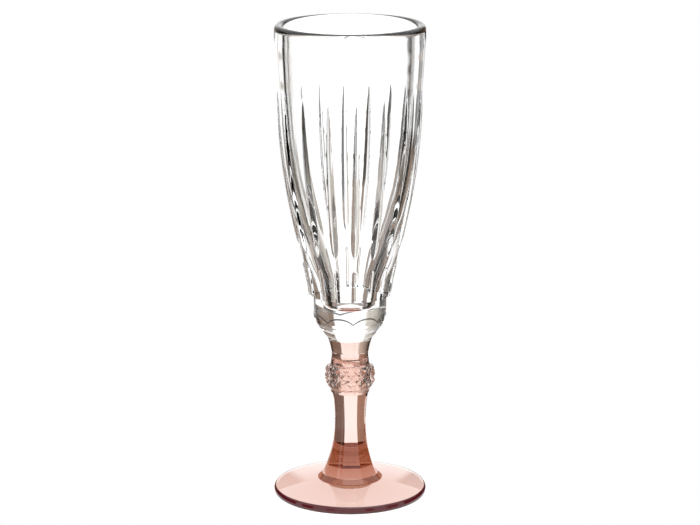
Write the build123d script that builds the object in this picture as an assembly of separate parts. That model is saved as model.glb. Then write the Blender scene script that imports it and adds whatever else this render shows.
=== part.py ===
from build123d import *
import math
import os

# Pressed-glass champagne flute, millimetres.
# Origin: centre of the flat underside of the foot, +Z up through the axis.
# Four pieces of glass, fused while hot: foot, stem, knop, bowl.

# Overall sizes
total_height = 205.0        # table to rim
rim_radius = 32.0           # outside of the mouth
foot_radius = 33.0          # outside of the foot

# Where the pieces meet, as shares of the overall height
foot_top = total_height * 0.0332        # foot ends, collar of the stem begins
bowl_bottom = total_height * 0.3366     # stem ends, clear bowl begins

# Glass thickness of the bowl
lip_wall = 4.1              # at the mouth, rounded over the top

# Moulded patterns
reed_count = 16             # long pointed reeds round the cup, short ones below them
reed_rise = 1.10            # ridge of a long reed above the plain wall
reed_half_width = 1.8       # half the width of a long reed at its widest
short_reed_rise = 0.60
short_reed_half_width = 1.0
scallop_count = 8           # arches of the fine raised line round the shoulder
bead_radius = 0.30          # size of that line
bowl_turn = -84.7           # turn of the bowl pattern about the axis, degrees
facet_count = 8             # sides of the lower stem
stem_turn = -108.9          # turn of the first edge between stem facets, degrees
facet_crown = 0.12          # how far each stem facet bulges
knop_turn = -86.4           # turn of the studs, degrees
stud_count = 14             # studs in each row of the knop
stud_rise = 1.10            # point of a stud above the ring

# Stem, knop and collar
stem_waist = 7.05           # smallest radius, halfway up the faceted part
core_radius = 7.9           # round core that passes through the knop
knop_height = 13.9
knop_wall = 2.0             # thickness of the ring round the core
collar_radius = 13.9        # where the stem stands on the foot
collar_rise = 2.2

# Foot
foot_edge = 3.8             # height of the rounded edge
foot_edge_round = 1.7       # rounding of the edge, top and bottom


def eased(points, height):
    """Radius at a height, by a smooth curve through (height, radius) points."""
    heights = [p[0] for p in points]
    radii = [p[1] for p in points]
    last = len(points) - 1
    slopes = [(radii[i + 1] - radii[i]) / (heights[i + 1] - heights[i]) for i in range(last)]
    tangents = [slopes[0]]
    for i in range(1, last):
        same = slopes[i - 1] * slopes[i] > 0
        mean = 2 * slopes[i - 1] * slopes[i] / (slopes[i - 1] + slopes[i]) if same else 0.0
        tangents.append(mean)
    tangents.append(slopes[-1])
    k = 0
    while k < last - 1 and height > heights[k + 1]:
        k += 1
    span = heights[k + 1] - heights[k]
    t = min(max((height - heights[k]) / span, 0.0), 1.0)
    start = (2 * t ** 3 - 3 * t ** 2 + 1) * radii[k] + (t ** 3 - 2 * t ** 2 + t) * span * tangents[k]
    end = (3 * t ** 2 - 2 * t ** 3) * radii[k + 1] + (t ** 3 - t ** 2) * span * tangents[k + 1]
    return start + end


def steps(low, high, count):
    """Evenly spaced heights from low to high."""
    return [low + (high - low) * i / count for i in range(count + 1)]


def polar(radius, degrees, height):
    angle = math.radians(degrees)
    return (radius * math.cos(angle), radius * math.sin(angle), height)


def arched_ring(height, corner, crown, count, turn):
    """Closed outline of equal arcs: corners on one circle, crowns on another."""
    pitch = 360.0 / count
    arcs = []
    for i in range(count):
        first = polar(corner, turn + pitch * i, height)
        middle = polar(crown, turn + pitch * (i + 0.5), height)
        last = polar(corner, turn + pitch * (i + 1), height)
        arcs.append(Edge.make_three_point_arc(first, middle, last))
    return Wire(arcs)


def turned(edges):
    """Solid of revolution from the edges of a half profile in the XZ plane."""
    return revolve(make_face(edges), Axis.Z)


def solid_of(shape):
    """The one solid inside a result."""
    found = shape.solids()
    assert len(found) == 1, len(found)
    return found[0]


# ---------------------------------------------------------------- foot
def make_foot():
    r = foot_radius
    b = foot_edge_round
    rim_in = r - b
    profile = [
        Line((0, 0, 0), (rim_in, 0, 0)),
        ThreePointArc((rim_in, 0, 0), (rim_in + 0.7071 * b, 0, 0.2929 * b), (r, 0, b)),
        Line((r, 0, b), (r, 0, foot_edge - b)),
        ThreePointArc(
            (r, 0, foot_edge - b),
            (rim_in + 0.7071 * b, 0, foot_edge - 0.2929 * b),
            (rim_in, 0, foot_edge),
        ),
        Line((rim_in, 0, foot_edge), (collar_radius, 0, foot_top)),
        Line((collar_radius, 0, foot_top), (0, 0, foot_top)),
        Line((0, 0, foot_top), (0, 0, 0)),
    ]
    return solid_of(turned(profile))


# ---------------------------------------------------------------- stem
stem_length = bowl_bottom - foot_top
knop_radius = core_radius + knop_wall   # ring under the studs
knop_bottom = foot_top + stem_length * 0.622
knop_top = knop_bottom + knop_height
collar_top = foot_top + collar_rise
bowl_scale = rim_radius / 32.0
joint_radius = 9.35 * bowl_scale        # round joint between stem and bowl


def make_stem():
    # Collar: a short cone standing on the foot
    rounding = 0.35
    collar = turned([
        Line((0, 0, foot_top), (collar_radius, 0, foot_top)),
        Line((collar_radius, 0, foot_top), (collar_radius, 0, foot_top + rounding)),
        Line((collar_radius, 0, foot_top + rounding), (collar_radius - 1.9, 0, collar_top)),
        Line((collar_radius - 1.9, 0, collar_top), (0, 0, collar_top)),
        Line((0, 0, collar_top), (0, 0, foot_top)),
    ])

    # Faceted shaft: corner radius as a curve of the height
    reach = knop_bottom - collar_top
    shaft_curve = [
        (collar_top, collar_radius - 2.0),
        (collar_top + reach * 0.150, stem_waist + 2.85),
        (collar_top + reach * 0.262, stem_waist + 1.65),
        (collar_top + reach * 0.400, stem_waist + 0.62),
        (collar_top + reach * 0.560, stem_waist + 0.06),
        (collar_top + reach * 0.660, stem_waist),
        (collar_top + reach * 0.800, stem_waist + 0.22),
        (collar_top + reach * 0.930, stem_waist + 0.68),
        (knop_bottom, stem_waist + 1.15),
    ]
    rings = []
    for height in [p[0] for p in shaft_curve]:
        corner = eased(shaft_curve, height)
        crown = corner * math.cos(math.pi / facet_count) + facet_crown
        rings.append(arched_ring(height, corner, crown, facet_count, stem_turn))
    shaft = Solid.make_loft(rings, ruled=False)

    # Round core through the knop
    core = Solid.make_cylinder(core_radius, knop_height, Plane((0, 0, knop_bottom)))

    # Round neck above the knop, opening to the joint with the bowl
    reach = bowl_bottom - knop_top
    neck_curve = [
        (knop_top, core_radius + 0.25),
        (knop_top + reach * 0.28, core_radius - 0.05),
        (knop_top + reach * 0.62, core_radius + 0.45),
        (bowl_bottom, joint_radius),
    ]
    wall = [(eased(neck_curve, z), 0, z) for z in steps(knop_top, bowl_bottom, 7)]
    neck = turned([
        Spline(wall),
        Line(wall[-1], (0, 0, bowl_bottom)),
        Line((0, 0, bowl_bottom), (0, 0, knop_top)),
        Line((0, 0, knop_top), wall[0]),
    ])
    return solid_of(collar + shaft + core + neck)


# ---------------------------------------------------------------- knop
def make_stud(direction, height, half_height):
    """Four-sided point standing out of the ring, its root inside the ring."""
    half_pitch = 180.0 / stud_count * 0.97
    half_height = half_height * 0.97
    root = knop_radius - 0.30
    tip = polar(knop_radius + stud_rise, direction, height)
    heel = polar(core_radius + 0.45, direction, height)
    sides = [
        polar(root, direction - half_pitch, height),
        polar(root, direction, height - half_height),
        polar(root, direction + half_pitch, height),
        polar(root, direction, height + half_height),
    ]
    faces = []
    for i in range(4):
        a = sides[i]
        b = sides[(i + 1) % 4]
        faces.append(Face(Wire.make_polygon([tip, b, a], close=True)))
        faces.append(Face(Wire.make_polygon([heel, a, b], close=True)))
    return Solid(Shell(faces))


def make_knop():
    low = knop_bottom
    high = knop_top
    barrel = [
        (core_radius + 0.35, 0, low),
        (core_radius + 0.80, 0, low + knop_height * 0.115),
        (knop_radius - 0.30, 0, low + knop_height * 0.21),
        (knop_radius, 0, low + knop_height * 0.54),
        (knop_radius - 0.30, 0, low + knop_height * 0.80),
        (core_radius + 0.55, 0, low + knop_height * 0.885),
        (core_radius + 0.20, 0, high),
    ]
    ring = turned([
        Line((core_radius, 0, low), barrel[0]),
        Line(barrel[0], barrel[1]),
        Line(barrel[1], barrel[2]),
        ThreePointArc(barrel[2], barrel[3], barrel[4]),
        Line(barrel[4], barrel[5]),
        Line(barrel[5], barrel[6]),
        Line(barrel[6], (core_radius, 0, high)),
        Line((core_radius, 0, high), (core_radius, 0, low)),
    ])
    pitch = 360.0 / stud_count
    half_height = knop_height * 0.156
    middle = low + knop_height * 0.537
    studs = []
    for row in (-1, 0, 1):
        shift = 0.5 if row == 0 else 0.0
        for i in range(stud_count):
            direction = knop_turn + pitch * (i + shift)
            studs.append(make_stud(direction, middle + row * half_height, half_height))
    return solid_of(ring.fuse(*studs))


# ---------------------------------------------------------------- bowl
bowl_height = total_height - bowl_bottom


def at(share):
    """Height inside the bowl, as a share of its own height."""
    return bowl_bottom + bowl_height * share


# Plain outer wall, without its reeds
wall_curve = [
    (at(0.142), 15.85),
    (at(0.146), 16.95),
    (at(0.182), 17.85),
    (at(0.221), 18.95),
    (at(0.260), 20.15),
    (at(0.300), 21.20),
    (at(0.345), 22.45),
    (at(0.412), 24.40),
    (at(0.508), 26.80),
    (at(0.603), 28.60),
    (at(0.698), 29.85),
    (at(0.790), 30.55),
    (at(0.838), 31.10),
    (at(0.890), 31.55),
    (at(0.955), 32.00),
    (at(0.985), 32.00),
]
cup_low = at(0.146)         # the cup overhangs the smooth band here
reeds_end = at(0.815)       # plain wall from here up to the lip

# Long reeds: height, share of the full rise, share of the full width
reed_stations = [
    (at(0.285), -0.25, 0.15),
    (at(0.290), 0.10, 0.20),
    (at(0.300), 0.42, 0.50),
    (at(0.325), 0.88, 0.89),
    (at(0.360), 1.00, 1.00),
    (at(0.420), 1.00, 1.00),
    (at(0.510), 0.93, 0.92),
    (at(0.600), 0.83, 0.83),
    (at(0.700), 0.58, 0.61),
    (at(0.770), 0.30, 0.33),
    (at(0.800), 0.04, 0.08),
    (at(0.812), -0.20, 0.05),
]
# Short reeds: they stand on the overhang and end in a rounded top
short_reed_stations = [
    (cup_low, 1.00, 1.00),
    (at(0.170), 1.00, 1.00),
    (at(0.205), 1.00, 1.00),
    (at(0.238), 1.00, 1.00),
    (at(0.247), 0.75, 0.75),
    (at(0.252), 0.10, 0.30),
    (at(0.254), -0.50, 0.20),
]


def wall_at(height):
    return eased(wall_curve, height) * bowl_scale


def plain_part(low, high, pieces):
    """Turned part of the wall between two heights."""
    wall = [(wall_at(z), 0, z) for z in steps(low, high, pieces)]
    return turned([
        Spline(wall),
        Line(wall[-1], (0, 0, high)),
        Line((0, 0, high), (0, 0, low)),
        Line((0, 0, low), wall[0]),
    ])


def make_reed(stations, rise, half_width, direction):
    """Three-sided ridge along the wall, its back buried in the glass."""
    buried = 0.35
    sections = []
    for height, rise_share, width_share in stations:
        radius = wall_at(height)
        half = half_width * width_share * (1.0 + buried / rise)
        spread = math.degrees(math.atan2(half, radius - buried))
        inner = (radius - buried - max(0.0, -rise_share) * rise) / math.cos(math.radians(spread))
        corners = [
            polar(inner, direction - spread, height),
            polar(radius + rise * rise_share, direction, height),
            polar(inner, direction + spread, height),
        ]
        sections.append(Wire.make_polygon(corners, close=True))
    return Solid.make_loft(sections, ruled=True)


def make_reeds(stations, rise, half_width):
    pitch = 360.0 / reed_count
    return [
        make_reed(stations, rise, half_width, bowl_turn + pitch * i)
        for i in range(reed_count)
    ]


# Round shoulder from the crease up to the smooth band
shoulder_curve = [
    (at(0.0315), 12.00),
    (at(0.0380), 12.90),
    (at(0.0455), 13.72),
    (at(0.0551), 14.38),
    (at(0.0654), 14.80),
    (at(0.0790), 15.22),
    (at(0.1000), 15.60),
    (at(0.1340), 15.80),
]


def shoulder_at(height):
    return eased(shoulder_curve, height) * bowl_scale


def make_neck_and_band():
    """Solid glass under the cup: neck, sharp crease, round shoulder, smooth band."""
    s = bowl_scale
    neck = [
        (joint_radius, 0, bowl_bottom),
        (10.05 * s, 0, at(0.009)),
        (10.95 * s, 0, at(0.0175)),
        (11.60 * s, 0, at(0.0250)),
        (12.00 * s, 0, at(0.0315)),
    ]
    shoulder = [(shoulder_at(p[0]), 0, p[0]) for p in shoulder_curve]
    step = (16.10 * s, 0, cup_low)
    return turned([
        Spline(neck),
        Spline(shoulder),
        Line(shoulder[-1], step),
        Line(step, (0, 0, cup_low)),
        Line((0, 0, cup_low), (0, 0, bowl_bottom)),
        Line((0, 0, bowl_bottom), neck[0]),
    ])


def make_scallops():
    """Fine raised line round the shoulder, in eight arches that meet in points."""
    pitch = 360.0 / scallop_count
    cusp = at(0.0699)
    crest = at(0.0890)
    pieces = []
    for i in range(scallop_count):
        start = bowl_turn + pitch * i
        first = polar(shoulder_at(cusp), start, cusp)
        middle = polar(shoulder_at(crest), start + pitch / 2, crest)
        last = polar(shoulder_at(cusp), start + pitch, cusp)
        path = Edge.make_three_point_arc(first, middle, last)
        section = Plane(path @ 0, z_dir=path % 0) * Circle(bead_radius)
        pieces.append(sweep(section, path=path))
        pieces.append(Pos(*first) * Sphere(bead_radius))
    return pieces


def make_bowl():
    lip_round = lip_wall / 2
    lip_start = total_height - lip_round
    outer = (rim_radius, 0, lip_start)
    crown = (rim_radius - lip_round, 0, total_height)
    inner = (rim_radius - lip_wall, 0, lip_start)
    lip = turned([
        Line((0, 0, lip_start), outer),
        ThreePointArc(outer, crown, inner),
        Line(inner, (0, 0, lip_start)),
    ])
    outside = (
        make_neck_and_band()
        + plain_part(cup_low, reeds_end, 18)
        + plain_part(reeds_end, lip_start, 12)
        + lip
    )
    outside = outside.fuse(*make_reeds(reed_stations, reed_rise, reed_half_width))
    outside = outside.fuse(*make_reeds(short_reed_stations, short_reed_rise, short_reed_half_width))
    for piece in make_scallops():
        outside = outside + piece
    # Cavity: nearly upright at the mouth, drawn in to a narrow rounded bottom
    s = bowl_scale
    cavity_curve = [
        (at(0.125), 7.9),
        (at(0.145), 8.3),
        (at(0.170), 8.9),
        (at(0.205), 10.0),
        (at(0.245), 11.9),
        (at(0.290), 13.9),
        (at(0.338), 16.0),
        (at(0.412), 19.3),
        (at(0.508), 22.6),
        (at(0.603), 24.6),
        (at(0.698), 25.9),
        (at(0.838), 27.0),
        (lip_start, (rim_radius - lip_wall) / s),
    ]
    heights = [p[0] for p in cavity_curve]
    wall = [(eased(cavity_curve, z) * s, 0, z) for z in heights]
    depth = at(0.125) - at(0.103)
    edge = wall[0][0]
    floor = (0, 0, at(0.103))
    flat = (edge - depth, 0, at(0.103))
    bend = (edge - 0.2929 * depth, 0, at(0.103) + 0.2929 * depth)
    cavity = turned([
        Line(floor, flat),
        ThreePointArc(flat, bend, wall[0]),
        Spline(wall),
        Line(wall[-1], (wall[-1][0], 0, total_height + 5)),
        Line((wall[-1][0], 0, total_height + 5), (0, 0, total_height + 5)),
        Line((0, 0, total_height + 5), floor),
    ])
    return solid_of(outside - cavity)


os.makedirs("parts", exist_ok=True)
for name, piece in (
    ("foot", make_foot()),
    ("stem", make_stem()),
    ("knop", make_knop()),
    ("bowl", make_bowl()),
):
    piece.label = name
    export_step(piece, f"parts/{name}.step")
    box = piece.bounding_box()
    print(name, "valid", piece.is_valid, "volume %.1f" % piece.volume, box.min, box.max)
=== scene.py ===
import math

import bpy
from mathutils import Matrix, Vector


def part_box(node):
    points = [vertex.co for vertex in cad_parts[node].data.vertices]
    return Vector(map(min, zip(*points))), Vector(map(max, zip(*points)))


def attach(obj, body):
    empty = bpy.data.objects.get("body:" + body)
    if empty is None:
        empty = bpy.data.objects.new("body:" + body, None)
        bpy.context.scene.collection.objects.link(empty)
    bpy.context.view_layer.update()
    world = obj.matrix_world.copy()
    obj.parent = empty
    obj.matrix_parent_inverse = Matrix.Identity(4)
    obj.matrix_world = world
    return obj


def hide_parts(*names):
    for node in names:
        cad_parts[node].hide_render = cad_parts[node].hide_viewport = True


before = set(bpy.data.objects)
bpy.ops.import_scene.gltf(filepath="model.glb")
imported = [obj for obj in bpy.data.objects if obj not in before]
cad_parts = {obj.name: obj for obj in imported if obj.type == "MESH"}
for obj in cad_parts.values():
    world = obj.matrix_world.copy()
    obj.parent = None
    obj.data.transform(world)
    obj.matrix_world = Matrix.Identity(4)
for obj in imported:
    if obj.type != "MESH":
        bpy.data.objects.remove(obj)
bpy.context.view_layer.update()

# ------------------------------------------------------------------ sizes, from the frame
bowl_low, bowl_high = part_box("bowl")
stem_low, stem_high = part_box("stem")
knop_low, knop_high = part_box("knop")
foot_low, foot_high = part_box("foot")
TOTAL = bowl_high.z
RIM = bowl_high.x * 0.99985         # a hair inside the box of the CAD
FOOT = foot_high.x
FOOT_TOP = foot_high.z
JOINT = bowl_low.z                  # flat joint between stem and bowl
KNOP_LOW = knop_low.z
KNOP_TOP = knop_high.z
COLLAR = stem_high.x
MM = 0.001

# ------------------------------------------------------------------ driving sizes, as in the CAD
BOWL_TURN = math.radians(-84.7)
STEM_TURN = math.radians(-108.9)
KNOP_TURN = math.radians(-86.4)
REEDS = 16
SCALLOPS = 8
FACETS = 8
STUDS = 14
SHORT_REED_RISE = 0.60 * MM
SHORT_REED_WIDTH = 1.0 * MM
REED_POWER = 1.2                    # 1 is a sharp tent, 2 is a round back
SCALLOP_POWER = 2.2                 # how full each arch of the raised line is
LINE_RISE = 0.34 * MM               # raised line on the shoulder
LINE_WIDTH = 0.32 * MM
LIP_WALL = 4.1 * MM
LIP_ROUND = LIP_WALL / 2
FOOT_EDGE = 3.8 * MM
FOOT_ROUND = 1.7 * MM
COLLAR_SIDE = 0.35 * MM             # short upright side of the collar
COLLAR_SLOPE = 1.85 * MM            # height of the cone above it
COLLAR_RISE = 2.2 * MM
COLLAR_INSET = 1.9 * MM
WAIST = 7.05 * MM
FACET_CROWN = 0.12 * MM
CORE = 7.9 * MM
KNOP_RADIUS = 9.9 * MM
STUD_RISE = 1.1 * MM
JOINT_RADIUS = 9.35 * MM
GAP = 0.004 * MM                    # hair gap between pieces, so rays meet their faces one by one
LEDGE = 0.01 * MM                   # parts two rows that would lie at one height
COLUMNS = 640                       # divisible by reeds, scallops and facets
FOOT_COLUMNS = 256
KNOP_COLUMNS = STUDS * 24


def curve(points, height):
    """Smooth curve through (height, value) points, without overshoot."""
    xs = [p[0] for p in points]
    ys = [p[1] for p in points]
    last = len(points) - 1
    slopes = [(ys[i + 1] - ys[i]) / (xs[i + 1] - xs[i]) for i in range(last)]
    tangents = [slopes[0]]
    for i in range(1, last):
        a, b = slopes[i - 1], slopes[i]
        tangents.append(2 * a * b / (a + b) if a * b > 0 else 0.0)
    tangents.append(slopes[-1])
    k = 0
    while k < last - 1 and height > xs[k + 1]:
        k += 1
    span = xs[k + 1] - xs[k]
    t = min(max((height - xs[k]) / span, 0.0), 1.0)
    start = (2 * t**3 - 3 * t**2 + 1) * ys[k] + (t**3 - 2 * t**2 + t) * span * tangents[k]
    end = (3 * t**2 - 2 * t**3) * ys[k + 1] + (t**3 - t**2) * span * tangents[k + 1]
    return start + end


def spread(low, high, count):
    return [low + (high - low) * i / count for i in range(count + 1)]


def quarter(count):
    """Angles over a quarter turn, without the first."""
    return [(math.pi / 2) * i / count for i in range(1, count + 1)]


# ------------------------------------------------------------------ meshes
def skin(name, rows, columns, caps=True, turn=0.0, sharp=30.0):
    """Closed glass skin from rows of (height, radius), each a number or a function of angle.
    A radius of None is a point on the axis. Flat end caps take the second material."""
    vertices = []
    faces = []
    cap_faces = []
    angles = [turn + 2 * math.pi / columns * i for i in range(columns)]
    starts = []
    for z, radius in rows:
        starts.append((len(vertices), radius is None))
        if radius is None:
            vertices.append((0.0, 0.0, z))
            continue
        for a in angles:
            height = z(a) if callable(z) else z
            r = radius(a) if callable(radius) else radius
            vertices.append((r * math.cos(a), r * math.sin(a), height))
    for (a, a_point), (b, b_point) in zip(starts, starts[1:]):
        for k in range(columns):
            n = (k + 1) % columns
            if a_point:
                faces.append((a, b + n, b + k))
            elif b_point:
                faces.append((a + k, a + n, b))
            else:
                faces.append((a + k, a + n, b + n, b + k))
    if caps and not starts[0][1]:
        cap_faces.append(len(faces))
        faces.append(tuple(starts[0][0] + k for k in reversed(range(columns))))
    if caps and not starts[-1][1]:
        cap_faces.append(len(faces))
        faces.append(tuple(starts[-1][0] + k for k in range(columns)))
    mesh = bpy.data.meshes.new(name)
    mesh.from_pydata(vertices, [], faces)
    mesh.polygons.foreach_set("use_smooth", [True] * len(faces))
    mesh.set_sharp_from_angle(angle=math.radians(sharp))
    mesh.update()
    for index in cap_faces:
        mesh.polygons[index].material_index = 1
    obj = bpy.data.objects.new(name, mesh)
    bpy.context.scene.collection.objects.link(obj)
    return obj


def faceted(corner, crown, count, turn):
    """Radius around a ring of equal, slightly crowned facets with creases between them."""
    pitch = 2 * math.pi / count

    def radius(angle):
        u = ((angle - turn) / pitch) % 1.0
        return crown - (crown - corner) * abs(2 * u - 1) ** 2.0

    return radius


def reeded(plain, height, half_width):
    """Radius around a plain ring with narrow raised reeds."""
    pitch = 2 * math.pi / REEDS

    def radius(angle):
        u = ((angle - BOWL_TURN) / pitch + 0.5) % 1.0 - 0.5
        across = abs(u) * pitch * plain / max(half_width, 1e-6)
        return plain + height * max(0.0, 1.0 - across ** REED_POWER)

    return radius


# ------------------------------------------------------------------ bowl
BOWL = TOTAL - JOINT


def at(share):
    """Height of a share of the bowl above the joint."""
    return JOINT + BOWL * share


def outline(*points):
    """(share of the bowl, millimetres) points as (height, metres)."""
    return [(at(share), size * MM) for share, size in points]


CREASE = at(0.0315)
SHOULDER_TOP = at(0.134)
STEP_RADIUS = 15.98 * MM
SHORT_LOW, SHORT_HIGH = at(0.146), at(0.252)
REED_LOW, REED_HIGH = at(0.288), at(0.800)
CUP_FLOOR = at(0.103)
WALL_RIM = 32.0 * MM                # last radius of WALL
NECK_OUTSIDE = [(JOINT, JOINT_RADIUS)] + outline(
    (0.009, 10.05), (0.0175, 10.95), (0.0250, 11.60), (0.0315, 12.00),
)
SHOULDER = outline(
    (0.0315, 12.00), (0.038, 12.90), (0.0455, 13.72), (0.0551, 14.38),
    (0.0654, 14.80), (0.079, 15.22), (0.100, 15.60), (0.134, 15.80),
)
WALL = outline(
    (0.142, 15.85), (0.146, 16.95), (0.182, 17.85), (0.221, 18.95), (0.260, 20.15),
    (0.300, 21.20), (0.345, 22.45), (0.412, 24.40), (0.508, 26.80), (0.603, 28.60),
    (0.698, 29.85), (0.790, 30.55), (0.838, 31.10), (0.890, 31.55), (0.955, 32.00),
    (0.985, 32.00),
)
CAVITY = outline(
    (0.125, 7.9), (0.145, 8.3), (0.170, 8.9), (0.205, 10.0), (0.245, 11.9), (0.290, 13.9),
    (0.338, 16.0), (0.412, 19.3), (0.508, 22.6), (0.603, 24.6), (0.698, 25.9),
    (0.838, 27.0), (0.985, 27.8),
)
REED_RISE = outline(
    (0.288, 0.0), (0.300, 0.48), (0.325, 0.98), (0.36, 1.10), (0.42, 1.10),
    (0.51, 1.02), (0.60, 0.91), (0.70, 0.64), (0.77, 0.33), (0.800, 0.0),
)
REED_WIDTH = outline(
    (0.288, 0.1), (0.300, 0.9), (0.325, 1.6), (0.36, 1.8), (0.42, 1.8),
    (0.51, 1.66), (0.60, 1.5), (0.70, 1.1), (0.77, 0.6), (0.800, 0.1),
)
CAVITY_LOW, CAVITY_LOW_RADIUS = CAVITY[0]


def neck_rows():
    rows = [(z, curve(NECK_OUTSIDE, z)) for z in spread(JOINT, CREASE, 20)]
    rows[0] = (JOINT + GAP, rows[0][1])
    return rows


def shoulder_rows():
    """Round shoulder with a fine raised line that runs round it in scallops.
    Rows near the line bend with it, and straighten out above and below."""
    line, low, high = at(0.079), at(0.050), at(0.125)
    cusp, crest = at(0.0699), at(0.089)
    heights = spread(CREASE, low, 14)[1:] + spread(low, line - LINE_WIDTH, 14)[1:]
    heights += spread(line - LINE_WIDTH, line + LINE_WIDTH, 8)[1:]
    heights += spread(line + LINE_WIDTH, high, 22)[1:] + spread(high, SHOULDER_TOP, 4)[1:]
    rows = []
    for z in heights:
        share = (z - low) / (line - low) if z < line else (high - z) / (high - line)
        pull = min(max(share, 0.0), 1.0)
        across = abs(z - line) / LINE_WIDTH
        proud = LINE_RISE * (0.5 + 0.5 * math.cos(math.pi * min(across, 1.0)))

        def height(angle, z=z, pull=pull):
            u = ((angle - BOWL_TURN) * SCALLOPS / (2 * math.pi)) % 1.0
            scallop = cusp + (crest - cusp) * (1 - abs(2 * u - 1) ** SCALLOP_POWER)
            return z + (scallop - line) * pull

        def radius(angle, height=height, proud=proud):
            return curve(SHOULDER, height(angle)) + proud

        rows.append((height, radius))
    return rows


def wall_rows():
    """Step, short reeds, plain belt, long reeds and plain zone, from below."""
    rows = [(SHORT_LOW - 0.15 * MM, STEP_RADIUS)]
    for z in spread(SHORT_LOW, SHORT_HIGH, 40):
        share = (z - SHORT_LOW) / (SHORT_HIGH - SHORT_LOW)
        fade = math.sqrt(min(1.0, (1.0 - share) / 0.10))
        width = SHORT_REED_WIDTH * max(fade, 0.1)
        rows.append((z, reeded(curve(WALL, z), SHORT_REED_RISE * fade, width)))
    for z in spread(SHORT_HIGH, REED_LOW, 8)[1:-1]:
        rows.append((z, curve(WALL, z)))
    for z in spread(REED_LOW, REED_HIGH, 130):
        rows.append((z, reeded(curve(WALL, z), curve(REED_RISE, z), curve(REED_WIDTH, z))))
    for z in spread(REED_HIGH, TOTAL - LIP_ROUND, 30)[1:]:
        rows.append((z, curve(WALL, z) * RIM / WALL_RIM))
    return rows


def lip_rows():
    rows = []
    for i in range(1, 24):
        a = math.pi * i / 24
        rows.append((TOTAL - LIP_ROUND + LIP_ROUND * math.sin(a), RIM - LIP_ROUND + LIP_ROUND * math.cos(a)))
    return rows


def cavity_rows():
    """Inside of the cup from the lip down to the middle of its floor."""
    rows = [(z, curve(CAVITY, z)) for z in reversed(spread(CAVITY_LOW, TOTAL - LIP_ROUND, 110))]
    corner = CAVITY_LOW - CUP_FLOOR
    for a in quarter(12):
        rows.append((CUP_FLOOR + corner * (1 - math.sin(a)), CAVITY_LOW_RADIUS - corner * (1 - math.cos(a))))
    rows.append((CUP_FLOOR, None))
    return rows


bowl_rows = neck_rows() + shoulder_rows() + wall_rows() + lip_rows() + cavity_rows()
bowl = skin("bowl_glass", bowl_rows, COLUMNS, turn=BOWL_TURN)

# ------------------------------------------------------------------ stem
COLLAR_TOP = FOOT_TOP + COLLAR_RISE
SHAFT_HEIGHT = KNOP_LOW - COLLAR_TOP
SHAFT = [(COLLAR_TOP + SHAFT_HEIGHT * share, radius) for share, radius in (
    (0.0, COLLAR - 2.0 * MM), (0.150, WAIST + 2.85 * MM), (0.262, WAIST + 1.65 * MM),
    (0.400, WAIST + 0.62 * MM), (0.560, WAIST + 0.06 * MM), (0.660, WAIST),
    (0.800, WAIST + 0.22 * MM), (0.930, WAIST + 0.68 * MM), (1.0, WAIST + 1.15 * MM),
)]
STEM_NECK = [(KNOP_TOP + (JOINT - KNOP_TOP) * share, radius) for share, radius in (
    (0.0, CORE + 0.25 * MM), (0.28, CORE - 0.05 * MM), (0.62, CORE + 0.45 * MM), (1.0, JOINT_RADIUS),
)]


def collar_rows():
    side = FOOT_TOP + COLLAR_SIDE
    rows = [(FOOT_TOP + GAP, COLLAR), (side, COLLAR)]
    for t in spread(0.0, 1.0, 4)[1:]:
        rows.append((side + COLLAR_SLOPE * t, COLLAR - COLLAR_INSET * t))
    return rows


def shaft_rows():
    rows = []
    for z in spread(COLLAR_TOP, KNOP_LOW, 70):
        corner = curve(SHAFT, z)
        crown = corner * math.cos(math.pi / FACETS) + FACET_CROWN
        rows.append((z, faceted(corner, crown, FACETS, STEM_TURN)))
    rows[0] = (COLLAR_TOP + 2 * LEDGE, rows[0][1])
    return rows


def core_rows():
    rows = [(z, CORE - GAP) for z in spread(KNOP_LOW, KNOP_TOP, 8)]
    rows[0] = (KNOP_LOW + LEDGE, CORE - GAP)
    return rows


def stem_neck_rows():
    rows = [(z, curve(STEM_NECK, z)) for z in spread(KNOP_TOP, JOINT, 24)]
    rows[0] = (KNOP_TOP + LEDGE, rows[0][1])
    rows[-1] = (JOINT - GAP, rows[-1][1])
    return rows


stem_rows = collar_rows() + shaft_rows() + core_rows() + stem_neck_rows()
stem = skin("stem_glass", stem_rows, COLUMNS, turn=STEM_TURN)

# ------------------------------------------------------------------ foot
FOOT_INNER = FOOT - FOOT_ROUND
CORE_ZONE = COLLAR * 0.42           # zones of the underside, where darker tints are painted as shade further down
RING_ZONE = COLLAR * 0.72


def foot_rows():
    rows = [(0.0, CORE_ZONE), (0.0, RING_ZONE), (0.0, FOOT_INNER - 2 * MM), (0.0, FOOT_INNER)]
    for a in quarter(8):
        rows.append((FOOT_ROUND - FOOT_ROUND * math.cos(a), FOOT_INNER + FOOT_ROUND * math.sin(a)))
    for a in [0.0] + quarter(8):
        height = FOOT_EDGE - FOOT_ROUND + FOOT_ROUND * math.sin(a)
        rows.append((height, FOOT_INNER + FOOT_ROUND * math.cos(a)))
    for t in spread(0.0, 1.0, 12)[1:]:
        height = FOOT_EDGE + (FOOT_TOP - GAP - FOOT_EDGE) * t
        rows.append((height, FOOT_INNER + (COLLAR - FOOT_INNER) * t))
    return rows


foot = skin("foot_glass", foot_rows(), FOOT_COLUMNS)

# ------------------------------------------------------------------ knop
KNOP_HEIGHT = KNOP_TOP - KNOP_LOW
STUD_MIDDLE = KNOP_LOW + KNOP_HEIGHT * 0.537
STUD_HALF = KNOP_HEIGHT * 0.156
BARREL = [
    (0.0, CORE + 0.35 * MM), (0.115, CORE + 0.80 * MM), (0.21, KNOP_RADIUS - 0.30 * MM),
    (0.54, KNOP_RADIUS), (0.80, KNOP_RADIUS - 0.30 * MM), (0.885, CORE + 0.55 * MM),
    (1.0, CORE + 0.20 * MM),
]


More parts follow.
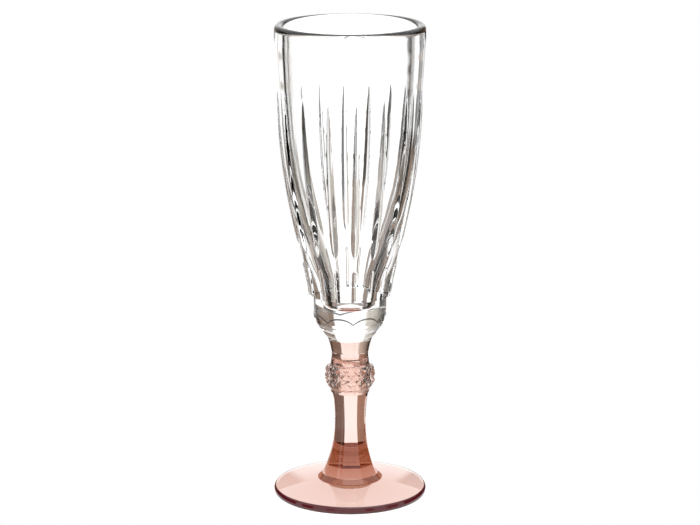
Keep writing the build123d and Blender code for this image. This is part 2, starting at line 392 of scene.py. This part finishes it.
def knop_radius(angle, z):
    """Barrel with three rows of four-sided points, staggered row by row."""
    pitch = 2 * math.pi / STUDS
    highest = 0.0
    for row, shift in ((-1, 0.0), (0, 0.5), (1, 0.0)):
        u = (((angle - KNOP_TURN) / pitch - shift + 0.5) % 1.0 - 0.5) * 2
        v = (z - (STUD_MIDDLE + row * STUD_HALF)) / STUD_HALF
        highest = max(highest, 1.0 - abs(u) - abs(v))
    return curve(BARREL, (z - KNOP_LOW) / KNOP_HEIGHT) + STUD_RISE * highest


def knop_rows():
    """Ring: studded outside, then the plain bore, then back to the first row."""
    outside = [(z, lambda a, z=z: knop_radius(a, z)) for z in spread(KNOP_LOW, KNOP_TOP, 72)]
    bore = [(z, CORE) for z in reversed(spread(KNOP_LOW, KNOP_TOP, 2))]
    return outside + bore + [outside[0]]


knop = skin("knop_glass", knop_rows(), KNOP_COLUMNS, caps=False, turn=KNOP_TURN, sharp=20.0)


# ------------------------------------------------------------------ materials
GLASS_IOR = 1.5
NECK_IOR = 1.3                      # keeps the neck free of broken flecks of light
ROSE = ((0.68, 0.30, 0.12), 30.0)   # colour and density inside the glass
KNOP_ROSE = ((0.70, 0.33, 0.17), 30.0)


def absorb(material, inside):
    """Fill a material with a (colour, density) absorption, or leave it clear for None."""
    if inside is None:
        return
    colour, density = inside
    volume = material.node_tree.nodes.new("ShaderNodeVolumeAbsorption")
    volume.inputs["Color"].default_value = (*colour, 1)
    volume.inputs["Density"].default_value = density
    surface_out = material.node_tree.nodes["Material Output"]
    material.node_tree.links.new(volume.outputs["Volume"], surface_out.inputs["Volume"])


def glass(name, colour, deeper, inside=None, rough=0.0, ior=GLASS_IOR, specular=0.5):
    """Polished glass: colour and roughness drift slightly, as on pressed glass."""
    material = bpy.data.materials.new(name)
    material.use_nodes = True
    nodes = material.node_tree.nodes
    links = material.node_tree.links
    shader = nodes["Principled BSDF"]
    shader.inputs["Transmission Weight"].default_value = 1.0
    shader.inputs["IOR"].default_value = ior
    shader.inputs["Specular IOR Level"].default_value = specular
    place = nodes.new("ShaderNodeTexCoord")
    noise = nodes.new("ShaderNodeTexNoise")
    noise.inputs["Scale"].default_value = 40.0
    noise.inputs["Detail"].default_value = 3.0
    links.new(place.outputs["Object"], noise.inputs["Vector"])
    mix = nodes.new("ShaderNodeMix")
    mix.data_type = "RGBA"
    mix.inputs["A"].default_value = (*colour, 1)
    mix.inputs["B"].default_value = (*deeper, 1)
    links.new(noise.outputs["Fac"], mix.inputs["Factor"])
    links.new(mix.outputs["Result"], shader.inputs["Base Color"])
    polish = nodes.new("ShaderNodeMapRange")
    polish.inputs["To Min"].default_value = rough
    polish.inputs["To Max"].default_value = rough + 0.02
    links.new(noise.outputs["Fac"], polish.inputs["Value"])
    links.new(polish.outputs["Result"], shader.inputs["Roughness"])
    absorb(material, inside)
    return material


def passing(name, inside=None, tint=(1.0, 1.0, 1.0)):
    """A face that light goes straight through: a fused joint, or an underside whose tint is painted shade.
    """
    material = bpy.data.materials.new(name)
    material.use_nodes = True
    nodes = material.node_tree.nodes
    nodes.remove(nodes["Principled BSDF"])
    clear = nodes.new("ShaderNodeBsdfTransparent")
    clear.inputs["Color"].default_value = (*tint, 1)
    material.node_tree.links.new(clear.outputs["BSDF"], nodes["Material Output"].inputs["Surface"])
    absorb(material, inside)
    return material


def from_axis(polygon):
    return math.hypot(polygon.center.x, polygon.center.y)


def is_quad(polygon):
    return len(polygon.vertices) == 4


def paint(obj, material, chosen):
    """Give a material to the polygons that are chosen by a function."""
    obj.data.materials.append(material)
    slot = len(obj.data.materials) - 1
    for polygon in obj.data.polygons:
        if chosen(polygon):
            polygon.material_index = slot


clear_glass = glass("clear_glass", (1.0, 1.0, 1.0), (0.985, 0.99, 0.99))
knop_glass = glass("rose_knop", (0.99, 0.92, 0.89), (0.98, 0.90, 0.87), KNOP_ROSE)
rose_glass = glass("rose_glass", (0.98, 0.93, 0.92), (0.97, 0.92, 0.91), ROSE)
clear_joint = passing("clear_joint")
rose_joint = passing("rose_joint", ROSE)
for obj, surfaces, slot, node in (
    (bowl, (clear_glass, clear_joint), "clear_glass", "bowl"),
    (stem, (rose_glass, rose_joint), "rose_glass", "stem"),
    (knop, (knop_glass,), "rose_glass", "knop"),
    (foot, (rose_glass, rose_joint), "rose_glass", "foot"),
):
    for surface in surfaces:
        obj.data.materials.append(surface)
    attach(obj, "root")
    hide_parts(node)


# ------------------------------------------------------------------ painted shade on the foot: darker tints on zones of the underside and on the edge
UNDERSIDE = 0.01 * MM
EDGE_LOW, EDGE_HIGH = 0.5 * MM, 3.5 * MM


def is_foot_rest(polygon):
    return is_quad(polygon) and polygon.center.z < UNDERSIDE and from_axis(polygon) >= COLLAR


def is_foot_edge(polygon):
    return EDGE_LOW < polygon.center.z < EDGE_HIGH and from_axis(polygon) > FOOT_INNER


def is_foot_middle(polygon):
    return not is_quad(polygon) and polygon.center.z < UNDERSIDE


def is_foot_ring(polygon):
    return is_quad(polygon) and polygon.center.z < UNDERSIDE and from_axis(polygon) < COLLAR


# painted shade: darker rose tints painted on the underside, darkest in the ring round the collar
paint(foot, passing("rose_rest_painted_shade", ROSE, (0.76, 0.57, 0.52)), is_foot_rest)
# painted shade: the rounded edge of the foot is painted near black
rose_edge_painted_shade = glass("rose_edge_painted_shade", (0.012, 0.0002, 0.0006), (0.010, 0.0002, 0.0005), ROSE, specular=0.2)
paint(foot, rose_edge_painted_shade, is_foot_edge)
paint(foot, passing("rose_core_painted_shade", ROSE, (0.62, 0.40, 0.32)), is_foot_middle)
paint(foot, passing("rose_ring_painted_shade", ROSE, (0.42, 0.22, 0.15)), is_foot_ring)


# ------------------------------------------------------------------ painted shade on the stem
# painted shade: a darker rose is painted on the collar and low down in the thick flare, where the colour
# looks deepest
PAINTED_SHADE_LOW, PAINTED_SHADE_HIGH = 13.0 * MM, 20.5 * MM


def is_stem_painted_shade(polygon):
    z = polygon.center.z
    return is_quad(polygon) and (z < COLLAR_TOP or PAINTED_SHADE_LOW < z < PAINTED_SHADE_HIGH)


# painted shade: darker rose on the collar and on a band of the flare
paint(stem, glass("rose_stem_painted_shade", (0.40, 0.17, 0.10), (0.36, 0.15, 0.08), ROSE), is_stem_painted_shade)


# ------------------------------------------------------------------ zones of the bowl, with painted shade on the raised line and the floor corner
def is_raised_line(polygon):
    z = polygon.center.z
    return at(0.060) < z < at(0.098) and from_axis(polygon) > curve(SHOULDER, z) + 0.06 * LINE_RISE


def is_neck(polygon):
    return is_quad(polygon) and polygon.center.z < at(0.050)


def is_floor_corner(polygon):
    return at(0.1035) < polygon.center.z < at(0.110) and from_axis(polygon) < CAVITY_LOW_RADIUS


# painted shade: the raised line on the shoulder is painted near black
line_painted_shade = glass("line_painted_shade", (0.02, 0.017, 0.015), (0.015, 0.012, 0.01), rough=0.1)
clear_neck = glass("clear_neck", (0.97, 0.96, 0.95), (0.95, 0.94, 0.93), rough=0.04, ior=NECK_IOR)
# painted shade: a dark arc painted where the cup floor turns up into its wall
arc_painted_shade = glass("arc_painted_shade", (0.10, 0.075, 0.07), (0.08, 0.06, 0.055), rough=0.03)
paint(bowl, line_painted_shade, is_raised_line)
paint(bowl, clear_neck, is_neck)
paint(bowl, arc_painted_shade, is_floor_corner)

# ------------------------------------------------------------------ studio floor
FLOOR_RADIUS = 0.037
FLOOR_SIDES = 96
FLOOR_DROP = 0.0001
GLOW = 1.25                         # brightness of the white surroundings


def add_object(name, vertices, faces, material):
    mesh = bpy.data.meshes.new(name)
    mesh.from_pydata(vertices, [], faces)
    mesh.materials.append(material)
    obj = bpy.data.objects.new(name, mesh)
    bpy.context.scene.collection.objects.link(obj)
    return obj


def paper():
    """Pale paper that is as bright as the white around it."""
    material = bpy.data.materials.new("paper")
    material.use_nodes = True
    shader = material.node_tree.nodes["Principled BSDF"]
    shader.inputs["Base Color"].default_value = (0.02, 0.02, 0.02, 1)
    shader.inputs["Roughness"].default_value = 0.9
    shader.inputs["Specular IOR Level"].default_value = 0.0
    shader.inputs["Emission Color"].default_value = (1, 1, 1, 1)
    shader.inputs["Emission Strength"].default_value = GLOW
    return material


turns = [2 * math.pi * i / FLOOR_SIDES for i in range(FLOOR_SIDES)]
floor_points = [(FLOOR_RADIUS * math.cos(a), FLOOR_RADIUS * math.sin(a), -FLOOR_DROP) for a in turns]
floor = add_object("studio_floor", floor_points, [tuple(range(FLOOR_SIDES))], paper())

# ------------------------------------------------------------------ surroundings
# Brightness by direction around the glass: 0 is straight behind it, positive to the right.
# These are what the glass bends into view. The camera itself sees plain white.
WHITE = (GLOW, GLOW, GLOW)
SHADE = (0.03, 0.025, 0.02)
BROWN = (0.283, 0.209, 0.162)
BEIGE = (0.72, 0.66, 0.59)
TAUPE = (0.38, 0.34, 0.29)
CARDS = [
    (-180, WHITE), (-158, WHITE), (-156, BEIGE), (-145, BEIGE), (-143, WHITE), (-125, WHITE),
    (-122, SHADE), (-105, SHADE), (-103, WHITE), (-80, WHITE), (-77, SHADE), (-56, SHADE),
    (-38, TAUPE), (-20, BEIGE), (-16, WHITE), (17, WHITE), (19, BROWN), (46, BROWN),
    (54, SHADE), (77, SHADE), (80, WHITE), (103, WHITE), (105, SHADE), (122, SHADE),
    (125, WHITE), (143, WHITE), (145, BROWN), (156, BROWN), (158, WHITE), (180, WHITE),
]
STRIPS = [
    (-180, WHITE), (-158, WHITE), (-156, BEIGE), (-145, BEIGE), (-143, WHITE), (-125, WHITE),
    (-122, SHADE), (-105, SHADE), (-103, WHITE), (-80, WHITE), (-77, SHADE), (-43, SHADE),
    (-40, WHITE), (-25, WHITE), (-24, TAUPE), (-21, TAUPE), (-20, WHITE), (14, WHITE),
    (16, SHADE), (34, SHADE), (36, WHITE), (60, WHITE), (62, SHADE), (77, SHADE),
    (80, WHITE), (103, WHITE), (180, WHITE),
]
LOW_CARD = [
    (-110, SHADE), (-60, SHADE), (-46, (0.26, 0.15, 0.11)), (-21, (0.46, 0.28, 0.20)),
    (-18, WHITE), (19, WHITE), (21, (0.22, 0.15, 0.12)), (44, (0.16, 0.10, 0.08)),
    (54, SHADE), (110, SHADE),
]
# the cup looks through the strips, everything above and below them through the cards
STRIPS_LOW = (-0.27, -0.25)
STRIPS_HIGH = (-0.15, -0.13)
OVERHEAD_FROM = (0.22, 0.50)
OVERHEAD = (1.2, 1.2, 1.2, 1)


def colour_ring(nodes, links, vector, stops):
    """Colour by direction around the glass, 0 straight behind it."""
    parts = nodes.new("ShaderNodeSeparateXYZ")
    links.new(vector, parts.inputs["Vector"])
    around = nodes.new("ShaderNodeMath")
    around.operation = "ARCTAN2"
    links.new(parts.outputs["X"], around.inputs[0])
    links.new(parts.outputs["Y"], around.inputs[1])
    share = nodes.new("ShaderNodeMapRange")
    share.inputs["From Min"].default_value = -math.pi
    share.inputs["From Max"].default_value = math.pi
    links.new(around.outputs["Value"], share.inputs["Value"])
    ring = nodes.new("ShaderNodeValToRGB")
    links.new(share.outputs["Result"], ring.inputs["Fac"])
    ramp = ring.color_ramp
    while len(ramp.elements) < len(stops):
        ramp.elements.new(0.5)
    for element, (degrees, value) in zip(ramp.elements, stops):
        element.position = (degrees + 180) / 360
    for element, (degrees, value) in zip(ramp.elements, stops):
        element.color = (*value, 1)
    return ring.outputs["Color"]


def mixed(nodes, links, factor, below, above):
    """Mix of two colours, each an output of another node or a plain value."""
    blend = nodes.new("ShaderNodeMix")
    blend.data_type = "RGBA"
    links.new(factor, blend.inputs["Factor"])
    for colour, socket in ((below, blend.inputs["A"]), (above, blend.inputs["B"])):
        if isinstance(colour, tuple):
            socket.default_value = colour
        else:
            links.new(colour, socket)
    return blend.outputs["Result"]


def tiered(nodes, links, height, limits, below, above):
    """One colour below the first limit of height, another above the second."""
    tier = nodes.new("ShaderNodeMapRange")
    tier.inputs["From Min"].default_value = limits[0]
    tier.inputs["From Max"].default_value = limits[1]
    links.new(height, tier.inputs["Value"])
    return mixed(nodes, links, tier.outputs["Result"], below, above)


def make_world():
    world = bpy.data.worlds.new("studio")
    bpy.context.scene.world = world
    world.use_nodes = True
    nodes = world.node_tree.nodes
    links = world.node_tree.links
    direction = nodes.new("ShaderNodeTexCoord").outputs["Generated"]
    split = nodes.new("ShaderNodeSeparateXYZ")
    links.new(direction, split.inputs["Vector"])
    height = split.outputs["Z"]
    cards = colour_ring(nodes, links, direction, CARDS)
    strips = colour_ring(nodes, links, direction, STRIPS)
    lower = tiered(nodes, links, height, STRIPS_LOW, cards, strips)
    bands = tiered(nodes, links, height, STRIPS_HIGH, lower, cards)
    overall = tiered(nodes, links, height, OVERHEAD_FROM, bands, OVERHEAD)
    to_camera = nodes.new("ShaderNodeLightPath").outputs["Is Camera Ray"]
    shown = mixed(nodes, links, to_camera, overall, (1, 1, 1, 1))
    links.new(shown, nodes["Background"].inputs["Color"])
    nodes["Background"].inputs["Strength"].default_value = 1.0


make_world()

# ------------------------------------------------------------------ low card behind the stem
CARD_RADIUS = 0.10
CARD_LOW, CARD_HIGH = -0.06, 0.045
CARD_SPAN = 210                     # degrees, centred straight behind the glass
CARD_PANELS = 96


def board():
    """Glowing board with its colour by direction around the glass."""
    material = bpy.data.materials.new("board")
    material.use_nodes = True
    nodes = material.node_tree.nodes
    links = material.node_tree.links
    nodes.remove(nodes["Principled BSDF"])
    glow = nodes.new("ShaderNodeEmission")
    place = nodes.new("ShaderNodeTexCoord").outputs["Object"]
    links.new(colour_ring(nodes, links, place, LOW_CARD), glow.inputs["Color"])
    links.new(glow.outputs["Emission"], nodes["Material Output"].inputs["Surface"])
    return material


card_points = []
for i in range(CARD_PANELS + 1):
    a = math.radians(-CARD_SPAN / 2 + CARD_SPAN * i / CARD_PANELS)
    for z in (CARD_LOW, CARD_HIGH):
        card_points.append((CARD_RADIUS * math.sin(a), CARD_RADIUS * math.cos(a), z))
panels = [(2 * i, 2 * i + 2, 2 * i + 3, 2 * i + 1) for i in range(CARD_PANELS)]
card = add_object("low_card", card_points, panels, board())
card.visible_camera = False

# ------------------------------------------------------------------ lamp
lamp_data = bpy.data.lights.new("softbox", "AREA")
lamp_data.shape = "SQUARE"
lamp_data.size = 1.2
lamp_data.energy = 8.0
lamp = bpy.data.objects.new("softbox", lamp_data)
lamp.location = (0.2, -0.3, 1.4)
aim = Vector((0, 0, 0.05)) - lamp.location
lamp.rotation_euler = aim.to_track_quat("-Z", "Y").to_euler()
bpy.context.scene.collection.objects.link(lamp)

bpy.context.scene.view_settings.view_transform = "Standard"
bpy.context.scene.view_settings.look = "None"

# ------------------------------------------------------------------ camera
CAMERA_DOWN = 13.726                # degrees below level
camera_data = bpy.data.cameras.new("camera")
camera_data.sensor_width = 36.0
camera_data.lens = 136.8
camera = bpy.data.objects.new("camera", camera_data)
camera.location = (0.0, -1.1026, 0.3717)
camera.rotation_euler = (math.radians(90 - CAMERA_DOWN), 0, 0)
bpy.context.scene.collection.objects.link(camera)
bpy.context.scene.camera = camera
